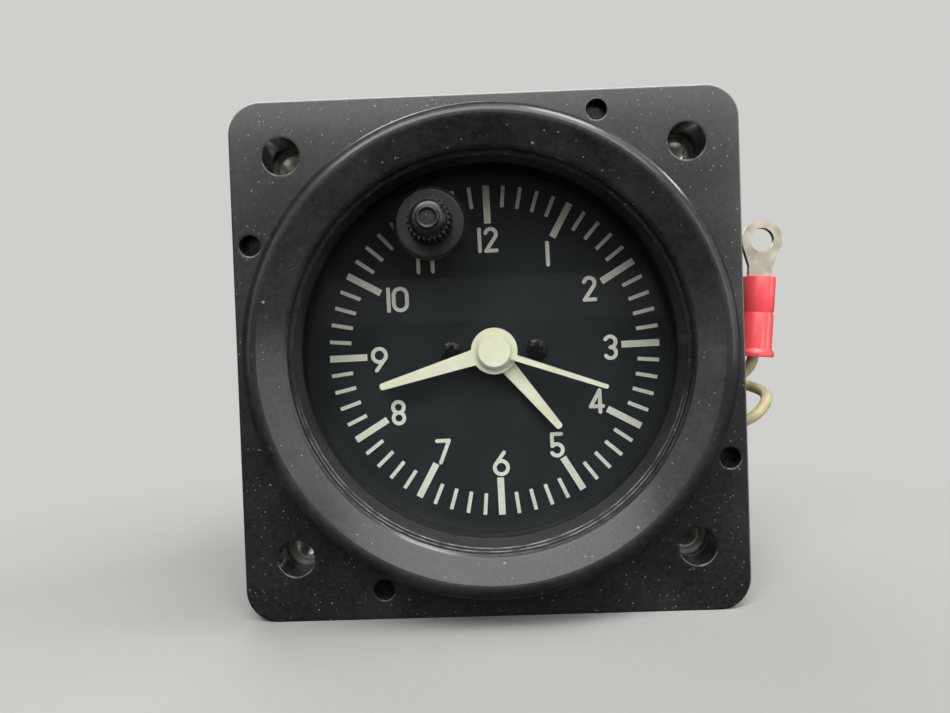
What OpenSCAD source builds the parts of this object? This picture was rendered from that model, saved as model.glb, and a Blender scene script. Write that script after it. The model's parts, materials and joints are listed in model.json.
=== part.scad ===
// Panel clock for an aircraft, in the 2 1/4 inch instrument size.
// Millimetres. The dial faces -Y, +X is to the right of a person reading it and +Z is up.
// The origin is the middle of the mounting holes, in the flange's front face. Depths count from that face
// towards the back, so what stands in front of the flange has a negative depth.

/* [Flange and ring] */
// Width of the flange
flange_w = 59.2; // [57:0.1:63]
// Height of the flange
flange_h = 61; // [59:0.1:64]
// Distance of the flange's middle below the middle of the mounting holes
flange_drop = 0.55; // [0:0.05:1]
// Thickness of the flange
flange_t = 4; // [3.4:0.1:5]
// Radius of the flange's corners
corner_r = 3.8; // [1:0.1:5]
// Outer radius of the raised ring
ring_r = 27.4; // [26.6:0.1:28.4]
// Height of the raised ring in front of the flange
ring_h = 6; // [4.5:0.1:7.5]
// Width of the lip that holds the edge of the lens
lens_lip = 2.75; // [2.2:0.05:3]
// Distance between neighbouring mounting holes
hole_pitch = 47.14; // [46:0.01:48]
// Radius of a mounting hole in the flange
hole_r = 2.2; // [2:0.05:2.6]
// Radius of the tapped bore in a mounting nut
nut_thread_r = 1.35; // [1.3:0.01:1.7]
// Distance of a case screw from the flange's side
case_screw_inset = 2; // [1.8:0.05:2.4]
// Distance of a case screw from the flange's middle line
case_screw_side = 13.3; // [12:0.1:15]
// Radius of a case screw
case_screw_r = 1.2; // [0.9:0.05:1.3]

/* [Lens and dial] */
// Depth of the seat that the lens is pressed against
seat_depth = 0.5; // [0.3:0.1:1]
// Radius of the lens, the dial and the spacer between them
lens_r = 24.8; // [24.2:0.1:25.2]
// Thickness of the lens
lens_t = 2; // [1.6:0.1:2.6]
// Thickness of the gasket in front of the lens
gasket_t = 0.5; // [0.3:0.1:0.8]
// Length of the spacer between lens and dial
spacer_t = 3.4; // [3:0.1:4.4]
// Radial wall of the spacer
spacer_wall = 1.9; // [1.2:0.1:2.4]
// Thickness of the dial
dial_t = 0.8; // [0.5:0.1:1.2]
// Distance of the hands' axis to the right of the middle of the mounting holes
axis_aside = 0.58; // [-1:0.01:1]
// Turn of the dial against the flange, in degrees counter-clockwise
dial_turn = 1; // [0:0.1:2]
// Gap between the spacer and the outer ends of the bars
bar_gap = 2.4; // [1.6:0.05:3]
// Length of an hour bar
hour_bar_l = 4.65; // [3:0.05:5.5]
// Width of an hour bar
hour_bar_w = 0.82; // [0.6:0.01:1.4]
// Length of a minute bar
minute_bar_l = 2.65; // [1.5:0.05:3.5]
// Width of a minute bar
minute_bar_w = 0.45; // [0.3:0.01:0.9]
// Distance of the numerals' middles from the inner ends of the hour bars
numeral_gap = 1.65; // [1.65:0.05:2.6]
// Height of a numeral
numeral_h = 3.15; // [2.4:0.05:3.6]
// Width of a digit
numeral_w = 2.1; // [1.6:0.05:2.4]
// Width of a digit's strokes
numeral_stroke = 0.45; // [0.3:0.01:0.6]
// Distance of a dial screw from the centre
dial_screw_at = 5.33; // [5.2:0.01:6]
// Radius of a dial screw's head
dial_screw_head_r = 1.3; // [1:0.05:1.4]

/* [Hands] */
// Length of the hour hand
hour_hand_l = 12.5; // [10:0.1:13.5]
// Length of the minute hand
minute_hand_l = 14.7; // [12:0.1:15]
// Length of the second hand
second_hand_l = 14.5; // [12:0.1:15]
// Width of the hour and minute hands at the hub
hand_w = 2.2; // [1.6:0.1:2.6]
// Width of the second hand at the hub
second_hand_w = 0.8; // [0.5:0.05:1.2]
// Radius of the minute hand's hub
minute_hub_r = 2.85; // [2.3:0.05:3.2]
// Radius of the second hand's cap
second_cap_r = 2.2; // [1.6:0.05:2.6]
// Thickness of a hand
blade_t = 0.25; // [0.15:0.01:0.3]
// Place of the hour hand, in degrees clockwise from twelve
hour_hand_at = 141; // [0:0.1:360]
// Place of the minute hand, in degrees clockwise from twelve
minute_hand_at = 254.2; // [0:0.1:360]
// Place of the second hand, in degrees clockwise from twelve
second_hand_at = 109.4; // [0:0.1:360]

/* [Setting knob] */
// Direction of the knob from the ring's middle, in degrees counter-clockwise from three
knob_at = 112.9; // [100:0.1:130]
// Radius of the knob at its base
knob_base_r = 2.65; // [2.45:0.05:4]
// Radius of the knob at its front
knob_tip_r = 2.45; // [2.1:0.05:2.8]
// Length of the knob
knob_l = 3.6; // [3:0.1:5]
// Distance that the knob pulls out to set the hands
knob_travel = 1.5; // [1.2:0.1:1.6]
// Gap between the bushing's flange and the edge of the opening
bushing_edge = 1.3; // [0.6:0.05:2]
// Radius of the bushing's flange on the lens
bushing_flange_r = 4.3; // [4.2:0.1:5.2]
// Thickness of the bushing's flange
bushing_flange_t = 1; // [0.7:0.1:1.4]
// Radius of the setting stem
stem_r = 1; // [0.8:0.05:1.1]

/* [Movement] */
// Thickness of a plate
plate_t = 1; // [0.8:0.1:1.4]
// Radius of the plates
plate_r = 21.5; // [20:0.1:22.4]
// Room between the dial and the front plate
motion_room = 4.2; // [3.8:0.1:5]
// Thickness of a wheel
wheel_t = 0.4; // [0.3:0.05:0.5]
// Gap between wheels that lie one behind the other
level_gap = 0.6; // [0.5:0.05:0.8]
// Module of the centre wheel's teeth
centre_module = 0.15; // [0.14:0.0025:0.155]
// Module of the seconds wheel's teeth
seconds_module = 0.12; // [0.115:0.0025:0.125]
// Radius of the pillars and spacers
pillar_r = 1.5; // [1.2:0.1:1.8]
// Length of the coil's winding
coil_l = 13; // [11:0.5:14]
// Radius of the coil's winding
coil_r = 1.6; // [1.2:0.05:1.7]
// Room between the back plate and the circuit board
board_room = 6; // [4:0.5:9]
// Thickness of the circuit board
board_t = 1.6; // [1:0.1:2]

/* [Case] */
// Thickness of the case's square front plate
case_plate_t = 2.5; // [2:0.1:3.5]
// Wall of the case's tube
tube_wall = 1.6; // [1.2:0.1:2]
// Depth of the tube's back edge
case_depth = 42; // [39:0.5:46]
// Wall of the rear cap
cap_wall = 2.8; // [2:0.05:3.2]
// Length of the rear cap over the tube
cap_overlap = 10; // [8:0.5:14]
// Thickness of the rear cap's end
cap_end_t = 1.6; // [1.2:0.1:2.4]
// Radius of the hole for the leads
grommet_r = 3; // [2.6:0.1:4]

/* [Leads] */
// Outer diameter of a lead's insulation
wire_d = 1.4; // [1:0.1:1.6]
// Radius of a terminal's ring
terminal_r = 2.55; // [2.3:0.05:3]
// Radius of the hole in a terminal's ring
terminal_hole_r = 1.5; // [1.3:0.05:1.7]
// Thickness of a terminal's tongue
terminal_t = 0.8; // [0.6:0.05:1]
// Outer radius of a terminal's sleeve
sleeve_r = 2.05; // [1.9:0.05:2.3]
// Length of a terminal's sleeve
sleeve_l = 10.2; // [9:0.1:12]

/* [Hidden] */
$fn = 64;

// Clearances
seat_fit = 0.2;
press_fit = 0.01;
run_fit = 0.05;
face_gap = 0.3;
pipe_fit = 0.06;
pivot_fit = 0.04;
// How far a cut runs past the face that it opens
cut_past = 1;

// Depths of the stack, from the front of the flange to the back
lens_front = seat_depth + gasket_t;
lens_back = lens_front + lens_t;
dial_front = lens_back + spacer_t;
dial_back = dial_front + dial_t;
front_plate_front = dial_back + motion_room;
front_plate_back = front_plate_front + plate_t;
end_shake = 0.4;
level_step = wheel_t + level_gap;
plate_room = 2 * end_shake + 4 * wheel_t + 3 * level_gap;
back_plate_front = front_plate_back + plate_room;
back_plate_back = back_plate_front + plate_t;
board_front = back_plate_back + board_room;
board_back = board_front + board_t;
cap_back = case_depth + cap_end_t;

// Round fits of the stack
opening_r = lens_r - lens_lip;
pocket_r = lens_r + seat_fit;
spacer_in_r = lens_r - spacer_wall;
shoulder_w = 1.8;
shoulder_r = lens_r - shoulder_w;
shoulder_t = 1.5;

// Bars and numerals, and the thickness of their paint
bar_r = spacer_in_r - bar_gap;
numeral_r = bar_r - hour_bar_l - numeral_gap;
mark_t = 0.08;
// Steps between the digits of 10, 11 and 12, in widths of a digit
tens_steps = [0.7, 0.85, 0.67];
// Widths of the digits 0 to 9, in widths of a whole one
digit_shares = [1, 1, 0.84, 1, 0.95, 0.9, 1, 0.93, 1, 1];
// How far the numerals 1 to 12 stand off their circle, to the right and up
numeral_nudges = [[0.15, -0.6], [-0.08, 0], [0.25, -0.3], [0.13, 0.19], [0.11, 0.2], [0.17, 0.12],
    [0.15, 0.05], [0, 0], [-0.12, -0.35], [0.23, -0.1], [-0.88, -0.69], [-0.39, -0.4]];

// Ring profile in front of the flange: ledge in the bore, rim, sloping face and round outer edge
ring_ledge_w = 0.45;
ring_ledge_drop = 1.3;
ring_rim_w = 0.3;
ring_face_tilt = 23.5;
ring_edge_r = 1.35;
ring_ledge_r = opening_r + ring_ledge_w;
ring_face_in = ring_ledge_r + ring_rim_w;
ring_face_out = ring_r - ring_edge_r * (1 + sin(ring_face_tilt));
ring_face_h = ring_h - ring_edge_r * (1 - cos(ring_face_tilt))
    - (ring_face_out - ring_face_in) * tan(ring_face_tilt);
arc_steps = 8;

// Hands and the pipes that carry them
lens_gap = 0.5;
cap_t = 0.35;
cap_bevel = 0.3;
dial_screw_head_t = 0.6;
dial_screw_dome_r = 3;
screw_gap = 0.4;
dial_clear = dial_screw_head_t + screw_gap;
hand_step = (spacer_t - lens_gap - cap_t - blade_t - dial_clear) / 2;
second_front = lens_back + lens_gap + cap_t;
minute_front = second_front + hand_step;
hour_front = minute_front + hand_step;
hand_tip = 0.85;
second_tip = 0.55;
hour_hub_r = 2.4;
seconds_arbor_r = 0.35;
minute_pipe_in = seconds_arbor_r + pipe_fit;
minute_pipe_r = 0.8;
hour_pipe_in = minute_pipe_r + pipe_fit;
hour_pipe_r = 1.3;
dial_hole_r = hour_pipe_r + face_gap;
pipe_lip = 0.2;

// Tooth counts
cannon_n = 12;
minute_n = 36;
minute_pinion_n = 10;
hour_n = 40;
idler_n = 32;
setting_n = 28;
centre_n = 64;
third_pinion_n = 8;
third_n = 60;
seconds_pinion_n = 8;
seconds_n = 60;
step_pinion_n = 8;
step_n = 32;
rotor_pinion_n = 8;

// Centre distances and the modules that follow from them
knob_place = polar(opening_r - bushing_edge - bushing_flange_r, knob_at);
stem_line = knob_place - [axis_aside, 0];
stem_at = norm(stem_line);
stem_dir = atan2(stem_line[1], stem_line[0]);
setting_module = 2 * stem_at / (cannon_n + 2 * minute_n + 2 * idler_n + setting_n);
minute_wheel_at = setting_module * (cannon_n + minute_n) / 2;
hour_module = 2 * minute_wheel_at / (hour_n + minute_pinion_n);
idler_at = minute_wheel_at + setting_module * (minute_n + idler_n) / 2;
third_at = centre_module * (centre_n + third_pinion_n) / 2;
third_module = 2 * third_at / (third_n + seconds_pinion_n);
step_at = seconds_module * (seconds_n + step_pinion_n) / 2;
rotor_at = step_at + seconds_module * (step_n + rotor_pinion_n) / 2;
third_dir = 230;
motor_dir = 330;

// Where a tooth of each wheel points, so that neighbours are in mesh
cannon_phase = 0;
minute_phase = mesh_phase(cannon_phase, cannon_n, minute_n, stem_dir);
idler_phase = mesh_phase(minute_phase, minute_n, idler_n, stem_dir);
setting_phase = mesh_phase(idler_phase, idler_n, setting_n, stem_dir);
minute_pinion_phase = 0;
hour_phase = mesh_phase(minute_pinion_phase, minute_pinion_n, hour_n, stem_dir + 180);
centre_phase = 0;
third_pinion_phase = mesh_phase(centre_phase, centre_n, third_pinion_n, third_dir);
third_phase = 0;
seconds_pinion_phase = mesh_phase(third_phase, third_n, seconds_pinion_n, third_dir + 180);
seconds_phase = 0;
step_pinion_phase = mesh_phase(seconds_phase, seconds_n, step_pinion_n, motor_dir);
step_phase = 0;
rotor_phase = mesh_phase(step_phase, step_n, rotor_pinion_n, motor_dir);

// Levels of the wheels
hour_level = dial_back + end_shake;
minute_level = hour_level + level_step;
centre_level = front_plate_back + end_shake;
third_level = centre_level + level_step;
seconds_level = third_level + level_step;
step_level = seconds_level + level_step;
pinion_over = 0.1;

// Teeth, in modules and in shares of the pitch
tooth_above = 0.85;
tooth_below = 1.2;
tooth_root_half = 0.27;
tooth_tip_half = 0.09;

// Rims, spokes and hubs of the wheels
wheel_rim_w = 0.45;
spoke_w = 0.55;
spokes = 4;
least_crossing = 0.5;
idler_hub_r = 0.9;
minute_wheel_hub_r = 1.1;
hour_wheel_hub_r = 1.7;
centre_hub_r = 1.6;
third_hub_r = 1.1;
seconds_hub_r = 1.1;

// Arbors and studs
stud_r = 0.35;
third_arbor_r = 0.3;
step_stud_r = 0.25;
rotor_arbor_r = 0.2;
stud_head = 0.15;
stud_collar = 2;

// Setting work
bushing_gap = 0.15;
bushing_seal_t = 0.3;
bushing_barrel_r = 2.3;
bushing_nut_r = 3.3;
bushing_nut_t = 1;
// The bush's share of the setting wheel's pitch radius
bush_share = 0.6;
bush_r = bush_share * setting_module * setting_n / 2;
bush_rim = 0.4;
bush_flange_r = bush_r + bush_rim;
bush_flange_t = 0.3;
wheel_hub_gap = 0.3;
clutch_room = 0.1;
clutch_in_r = bush_flange_r + clutch_room;
clutch_ring_w = 0.4;
clutch_r = clutch_in_r + clutch_ring_w;
clutch_ring_t = 0.9;
clutch_disc_t = 0.5;
clutch_front = minute_level + wheel_t + knob_travel + run_fit;
clutch_clear = 0.6;
clutch_hole_r = clutch_r + clutch_clear;
collar_r = 1.6;
collar_t = 0.35;
slide_t = 0.6;
slide_w = 3.6;
slide_pin_at = 3.4;
slide_back = back_plate_front - end_shake - collar_t - run_fit;
guide_pin_r = 0.5;
knob_front = lens_front - bushing_seal_t - bushing_flange_t - bushing_gap - knob_l;
knob_bore_l = 2.6;
flutes = 24;
flute_depth = 0.28;
// One flute: shares of its pitch and of its depth
flute_profile = [[0, 0], [0.3, 0], [0.5, 1], [0.8, 1]];
knob_round = 0.8;
knob_round_steps = 6;
knob_rim_in = 0.84;
knob_rim_out = 1.4;

// Plates, pillars and motor
pillar_at = 18.2;
pillar_dirs = [30, 160, 265];
plate_screw_r = 0.8;
plate_screw_head_r = 1.4;
plate_screw_head_t = 0.7;
dial_pillar_r = 1.15;
dial_screw_r = 0.7;
dial_screw_l = 3;
stator_plate_w = 3.8;
stator_in = rotor_at - stator_plate_w / 2;
stator_gap_w = 2.4;
stator_core_w = 1.4;
stator_t = 0.8;
stator_arm_l = 2;
coil_end_gap = 0.5;
stator_half_l = coil_l / 2 + coil_end_gap + stator_arm_l;
stator_mid = third_level + wheel_t / 2;
rotor_magnet_r = 1.2;
rotor_hole_r = 1.6;
rotor_magnet_l = 1.5;

// Circuit board and what is soldered on it
board_r = 21;
chip_size = [6, 5, 1.6];
chip_at = [-4, 6];
crystal_r = 1.5;
crystal_l = 6.2;
crystal_at = [-11, -3];
capacitor_r = 4;
capacitor_l = 10;
capacitor_at = [9, 6];
regulator_size = [6.6, 2.3, 6.2];
regulator_at = [-2, -9];

// Mounting nuts behind the case's front plate, and the screws of the case
plate_back = flange_t + case_plate_t;
nut_collar_r = 1.9;
nut_collar_l = 0.9;
nut_body_r = 3;
nut_body_l = 4;
nut_room = 0.7;
case_screw_cover = 1.5;
case_screw_hole_r = case_screw_r + run_fit;
case_head_r = 1.8;
case_head_t = 1.4;
cap_screw_r = 0.9;
cap_screw_head_r = 1.5;
cap_screw_head_t = 0.6;
cap_screw_dome_r = 3.8;
// Tube and cap, which pass inside the heads of the case screws
case_screw_at = min(flange_w, flange_h) / 2 - case_screw_inset;
tube_clear = 0.6;
tube_r = norm([case_screw_side, case_screw_at]) - case_head_r - tube_clear;
tube_in_r = tube_r - tube_wall;
cap_r = tube_r + cap_wall;
// Cross slot: shares of the head's radius, and its depth
drive_l = 1.3;
drive_w = 0.45;
drive_depth = 0.35;

// Grommet in the rear cap and the leads that leave it
grommet_at = [8.2, -8];
grommet_rim = 1.2;
grommet_flange_r = grommet_r + grommet_rim;
grommet_flange_t = 1.2;
lead_side = 1.2;
lead_exit = cap_back + grommet_flange_t;
wire_r = wire_d / 2;
wire_sides = 8;
span_steps = 2;
power_x = grommet_at[0] + lead_side;
ground_x = grommet_at[0] - lead_side;
barrel_r = 1.35;
barrel_l = 7;
barrel_gap = sleeve_l - barrel_l;
tongue_w = 2.85;
tongue_l = 1.25;
terminal_reach = 4.7;
tongue_meets = 20;
sleeve_flare = 0.3;
sleeve_flare_r = sleeve_r + sleeve_flare;
sleeve_flare_l = 1;
sleeve_groove_d = 0.12;
sleeve_groove_half = 0.35;
power_terminal = [33.95, 9, -1.9];
power_lean = 5;
ground_terminal = [-28.4, 40, -28.6];

// Route of the power lead: behind the clock, along the floor and up its right side in one loop
power_route = [
    [power_x, lead_exit, -8], [9.4, 48.4, -8], [9.8, 52, -9.6], [10.8, 55.6, -13],
    [12.6, 58.2, -17.6], [15.4, 59.8, -22.4], [19.2, 60, -26.8], [23.6, 58.4, -29.6],
    [28, 55, -30.3], [31.6, 50.4, -30.3], [34, 45, -30.3], [35, 39, -30.2],
    [34.8, 33, -29.4], [34, 27.8, -27.2], [33, 23.6, -23.8], [32, 20, -20],
    [31.2, 16.4, -16.4], [31, 12.9, -13.4], [32, 10, -10.9], [34.1, 9, -9.3],
    [35.7, 10.1, -7.9], [36.4, 12.3, -6.9], [35.6, 14.6, -6.2], [33.8, 15.3, -5.6],
    [32, 14.1, -5.2], [31.6, 11.8, -4.9], [32.3, 9.9, -4.4], [33.4, 9.1, -3.1],
    [33.95, 9, -1.2], terminal_end(power_terminal, [sin(power_lean), 0, cos(power_lean)])
];
// Route of the ground lead: down to the floor behind the clock
ground_route = [
    [ground_x, lead_exit, -8], [7, 48.4, -8], [6.4, 52.4, -9.8], [4.8, 56.2, -13.4],
    [2, 59.2, -18], [-2, 61.2, -22.6], [-6.8, 62.2, -26.6], [-12, 62, -29.4],
    [-17.2, 60.4, -30.3], [-21.8, 57.4, -30.3], [-25.4, 53.2, -30.2], [-27.6, 48.2, -29.6],
    [-28.4, 43, -28.8], terminal_end(ground_terminal, [0, -1, 0])
];

// Turn of wheel b that puts one of its gaps on a tooth of wheel a, where b lies in direction dir
function mesh_phase(phase_a, n_a, n_b, dir) =
    dir + 180 - n_a / n_b * (phase_a - dir) + 180 / n_b;

function polar(r, a) = [r * cos(a), r * sin(a)];

// Where a lead's wire meets the barrel inside its terminal's sleeve
function terminal_end(at, along) = at + barrel_gap * along;

// Points of a smooth curve through a route
function between(p, t) =
    0.5 * (2 * p[1] + t * (p[2] - p[0]) + t * t * (2 * p[0] - 5 * p[1] + 4 * p[2] - p[3])
    + t * t * t * (3 * p[1] - p[0] - 3 * p[2] + p[3]));
function around(route, i) =
    [for (k = [i - 1:i + 2]) route[max(0, min(len(route) - 1, k))]];
function curve(route) = concat(
    [for (i = [0:len(route) - 2], s = [0:span_steps - 1]) between(around(route, i), s / span_steps)],
    [route[len(route) - 1]]);
function unit(v) = v / norm(v);
function headings(points) =
    [for (i = [0:len(points) - 1])
        unit(points[min(i + 1, len(points) - 1)] - points[max(i - 1, 0)])];

// Sideways directions along a route that turn as little as they can
function sideways(along, first) =
    [for (i = 0, n = first; i < len(along);
        i = i + 1, n = i < len(along) ? unit(n - (n * along[i]) * along[i]) : n) n];

// Looking at the dial: x right, y up and z towards the reader
module dial_frame() {
    rotate([90, 0, 0]) children();
}

// A flat outline between two depths
module slab(front, back) {
    translate([0, 0, -back]) linear_extrude(back - front) children();
}

module at_polar(r, a) {
    rotate(a) translate([r, 0]) children();
}

module annulus(r, r_in) {
    difference() {
        circle(r);
        circle(r_in);
    }
}

module four_ways() {
    for (turn = [0:90:270]) rotate(turn) children();
}

module at_mounting_holes() {
    for (x = [-1, 1], y = [-1, 1]) translate([x, y] * hole_pitch / 2) children();
}

module at_case_screws() {
    four_ways() translate([case_screw_side, case_screw_at]) children();
}

// The hands' axis
module at_axis() {
    translate([axis_aside, 0]) children();
}

module at_pillars() {
    at_axis() for (dir = pillar_dirs) translate(polar(pillar_at, dir)) children();
}

module at_dial_screws() {
    at_axis() for (side = [-1, 1]) translate([side * dial_screw_at, 0]) children();
}

module at_stem() {
    translate(knob_place) children();
}

module flange_outline() {
    w = flange_w - 2 * corner_r;
    h = flange_h - 2 * corner_r;
    translate([0, -flange_drop]) {
        square([flange_w, h], center = true);
        square([w, flange_h], center = true);
        for (x = [-1, 1], y = [-1, 1]) translate([x * w, y * h] / 2) circle(corner_r);
    }
}

// A cross slot for a screwdriver
module cross_slot(r) {
    square([drive_l, drive_w] * r, center = true);
    square([drive_w, drive_l] * r, center = true);
}

// Outline of a wheel or pinion
module gear_outline(n, gear_module, phase) {
    r = gear_module * n / 2;
    tip_r = r + tooth_above * gear_module;
    root_r = r - tooth_below * gear_module;
    pitch = 360 / n;
    tooth = [[root_r, -tooth_root_half], [tip_r, -tooth_tip_half], [tip_r, tooth_tip_half],
        [root_r, tooth_root_half]];
    polygon([for (k = [0:n - 1], p = tooth) polar(p[0], phase + pitch * (k + p[1]))]);
}

// A wheel with its crossings cut out, bored to sit on its arbor
module wheel_outline(n, gear_module, phase, bore_r, hub_r) {
    rim_r = gear_module * (n / 2 - tooth_below) - wheel_rim_w;
    difference() {
        gear_outline(n, gear_module, phase);
        circle(bore_r);
        if (rim_r - hub_r > least_crossing) difference() {
            annulus(rim_r, hub_r);
            for (k = [0:spokes - 1]) rotate(360 * k / spokes) translate([0, -spoke_w / 2])
                square([rim_r + cut_past, spoke_w]);
        }
    }
}

// Bezel: flange and raised ring in one
module bezel() {
    ledge_h = ring_face_h - ring_ledge_drop;
    turn = 90 + ring_face_tilt;
    color("#232426") dial_frame() difference() {
        union() {
            slab(0, flange_t) flange_outline();
            rotate_extrude() polygon(concat(
                [[opening_r, -flange_t], [opening_r, ledge_h], [ring_ledge_r, ledge_h]],
                [[ring_ledge_r, ring_face_h - ring_rim_w], [ring_face_in, ring_face_h]],
                [for (k = [0:arc_steps]) [ring_r - ring_edge_r, ring_h - ring_edge_r]
                    + polar(ring_edge_r, turn * (1 - k / arc_steps))],
                [[ring_r, -flange_t]]));
        }
        slab(-ring_h, seat_depth) circle(opening_r);
        slab(seat_depth, flange_t + cut_past) circle(pocket_r);
        slab(-cut_past, flange_t + cut_past) at_mounting_holes() circle(hole_r);
        slab(-cut_past, flange_t + cut_past) at_case_screws() circle(case_screw_hole_r);
    }
}

module lens() {
    color("#8fa3a8", 0.35) dial_frame() difference() {
        slab(lens_front, lens_back) circle(lens_r);
        at_stem() slab(lens_front - cut_past, lens_back + cut_past) circle(bushing_barrel_r + run_fit);
        at_stem() slab(lens_back - bushing_nut_t, lens_back + cut_past) circle(bushing_nut_r + run_fit);
    }
}

module lens_gasket() {
    color("#1a1a1a") dial_frame() slab(seat_depth, lens_front) annulus(lens_r, opening_r + seat_fit);
}

module spacer_ring() {
    color("#1b1c1e") dial_frame() slab(lens_back, dial_front) annulus(lens_r, spacer_in_r);
}

module dial() {
    color("#191c21") dial_frame() slab(dial_front, dial_back) difference() {
        circle(lens_r);
        at_axis() circle(dial_hole_r);
        at_dial_screws() circle(dial_screw_r + run_fit);
        at_stem() circle(bush_r + press_fit);
    }
}

module dial_marks() {
    color("#e8e6dc") dial_frame() at_axis() rotate(dial_turn) slab(dial_front - mark_t, dial_front)
        for (minute = [0:59]) {
            hour = minute % 5 == 0;
            bar = hour ? [hour_bar_l, hour_bar_w] : [minute_bar_l, minute_bar_w];
            rotate(6 * minute) translate([bar_r - bar[0], -bar[1] / 2]) square(bar);
        }
}

// Strokes of the numerals
module dot(at) {
    translate(at) circle(numeral_stroke / 2);
}

module stroke(a, b) {
    side = numeral_stroke / 2 * [a[1] - b[1], b[0] - a[0]] / norm(b - a);
    polygon([a + side, a - side, b - side, b + side]);
    dot(a);
    dot(b);
}

module bow(at, r, from, to) {
    steps = 14;
    half = numeral_stroke / 2;
    angles = [for (k = [0:steps]) from + (to - from) * k / steps];
    translate(at) polygon(concat(
        [for (a = angles) polar(r + half, a)],
        [for (k = [0:steps]) polar(r - half, angles[steps - k])]));
    dot(at + polar(r, from));
    dot(at + polar(r, to));
}

module loop(at, r) {
    translate(at) annulus(r + numeral_stroke / 2, r - numeral_stroke / 2);
}

module digit(value, w) {
    h = numeral_h;
    half = numeral_stroke / 2;
    mid = w / 2;
    wide = mid - half;
    small = (h - 2 * half) / 4;
    top = h - half;
    if (value == 0) {
        bow([mid, top - wide], wide, 0, 180);
        bow([mid, half + wide], wide, 180, 360);
        stroke([half, half + wide], [half, top - wide]);
        stroke([w - half, half + wide], [w - half, top - wide]);
    }
    if (value == 1) stroke([mid, half], [mid, top]);
    if (value == 2) {
        turn = -35;
        bow([mid, top - wide], wide, turn, 165);
        join = turn + 6;
        stroke([mid, top - wide] + polar(wide, join), [half, half]);
        stroke([half, half], [w - half, half]);
    }
    if (value == 3) {
        bow([mid, top - small], small, -90, 150);
        bow([mid, half + small], small, -150, 90);
    }
    if (value == 4) {
        post = 0.7 * w;
        rail = 0.3 * h;
        stroke([post, half], [post, top]);
        stroke([post, top], [half, rail]);
        stroke([half, rail], [w - half, rail]);
    }
    if (value == 5) {
        left = 0.2 * w;
        stroke([left, top], [w - 1.5 * half, top]);
        stroke([left, top], [left, half + 1.7 * wide]);
        bow([mid, half + wide], wide, -150, 130);
    }
    if (value == 6) sixth(mid, half, wide, top);
    if (value == 7) {
        stroke([half, top], [w - half, top]);
        stroke([w - half, top], [0.3 * w, half]);
    }
    if (value == 8) {
        loop([mid, top - small], small);
        loop([mid, half + small], small);
    }
    if (value == 9) translate([w, h]) rotate(180) sixth(mid, half, wide, top);
}

// The shape of six, which nine turns upside down
module sixth(mid, half, wide, top) {
    lean = 155;
    loop([mid, half + wide], wide);
    stroke([mid, half + wide] + polar(wide, lean), [mid + 0.5 * wide, top]);
}

// The numeral of an hour, centred
module numeral(hour) {
    half_step = hour > 9 ? tens_steps[hour - 10] * numeral_w / 2 : 0;
    w = digit_shares[hour % 10] * numeral_w;
    translate([half_step - w / 2, -numeral_h / 2]) digit(hour % 10, w);
    if (hour > 9) translate([-half_step - numeral_w / 2, -numeral_h / 2]) digit(1, numeral_w);
}

module dial_numerals() {
    color("#e8e6dc") dial_frame() at_axis() rotate(dial_turn) slab(dial_front - mark_t, dial_front)
        for (hour = [1:12]) translate(polar(numeral_r, 90 - 30 * hour) + numeral_nudges[hour - 1])
            numeral(hour);
}

module dial_screws() {
    color("#1d1d1f") dial_frame() at_dial_screws() difference() {
        union() {
            intersection() {
                slab(dial_front - dial_screw_head_t, dial_front) circle(dial_screw_head_r);
                translate([0, 0, dial_screw_head_t - dial_front - dial_screw_dome_r])
                    sphere(r = dial_screw_dome_r);
            }
            slab(dial_front, dial_back + dial_screw_l) circle(dial_screw_r);
        }
        slab(dial_front - dial_screw_head_t - cut_past, dial_front - dial_screw_head_t + drive_depth)
            cross_slot(dial_screw_head_r);
    }
}

module mount_nuts() {
    color("#c9c6bd") dial_frame() at_mounting_holes() difference() {
        union() {
            slab(plate_back - nut_collar_l, plate_back) circle(nut_collar_r);
            slab(plate_back, plate_back + nut_body_l) circle(nut_body_r);
        }
        slab(flange_t, plate_back + nut_body_l + cut_past) circle(nut_thread_r);
    }
}

// Case: square front plate, shoulder behind the dial and the tube
module case_body() {
    color("#2b2c2e") dial_frame() difference() {
        union() {
            slab(flange_t, plate_back) flange_outline();
            slab(flange_t, case_depth) circle(tube_r);
        }
        slab(flange_t - cut_past, dial_back) circle(pocket_r);
        slab(dial_back - cut_past, case_depth + cut_past) circle(shoulder_r);
        slab(dial_back + shoulder_t, case_depth + cut_past) circle(tube_in_r);
        slab(flange_t - cut_past, plate_back + cut_past) {
            at_mounting_holes() circle(nut_collar_r + nut_room);
            at_case_screws() circle(case_screw_hole_r);
        }
        at_cap_screws() cylinder(r = cap_screw_r, h = 2 * tube_wall, center = true);
    }
}

module case_screws() {
    color("#3a3a3c") dial_frame() at_case_screws() difference() {
        union() {
            slab(case_screw_cover, plate_back) circle(case_screw_r);
            slab(plate_back, plate_back + case_head_t) circle(case_head_r);
        }
        slab(plate_back + case_head_t - drive_depth, plate_back + case_head_t + cut_past)
            cross_slot(case_head_r);
    }
}

// Turned places of the cap screws, on the cap's side, with z along the screw
module at_cap_screws() {
    for (dir = [45:90:315])
        rotate(dir) translate([tube_r, 0, -case_depth + cap_overlap / 2]) rotate([0, 90, 0]) children();
}

module rear_cap() {
    color("#2b2c2e") dial_frame() difference() {
        slab(case_depth - cap_overlap, cap_back) circle(cap_r);
        slab(case_depth - cap_overlap - cut_past, case_depth) circle(tube_r + press_fit);
        slab(case_depth - cut_past, cap_back + cut_past) translate(grommet_at) circle(grommet_r);
        at_cap_screws() cylinder(r = cap_screw_r, h = 4 * cap_wall, center = true);
    }
}

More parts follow.
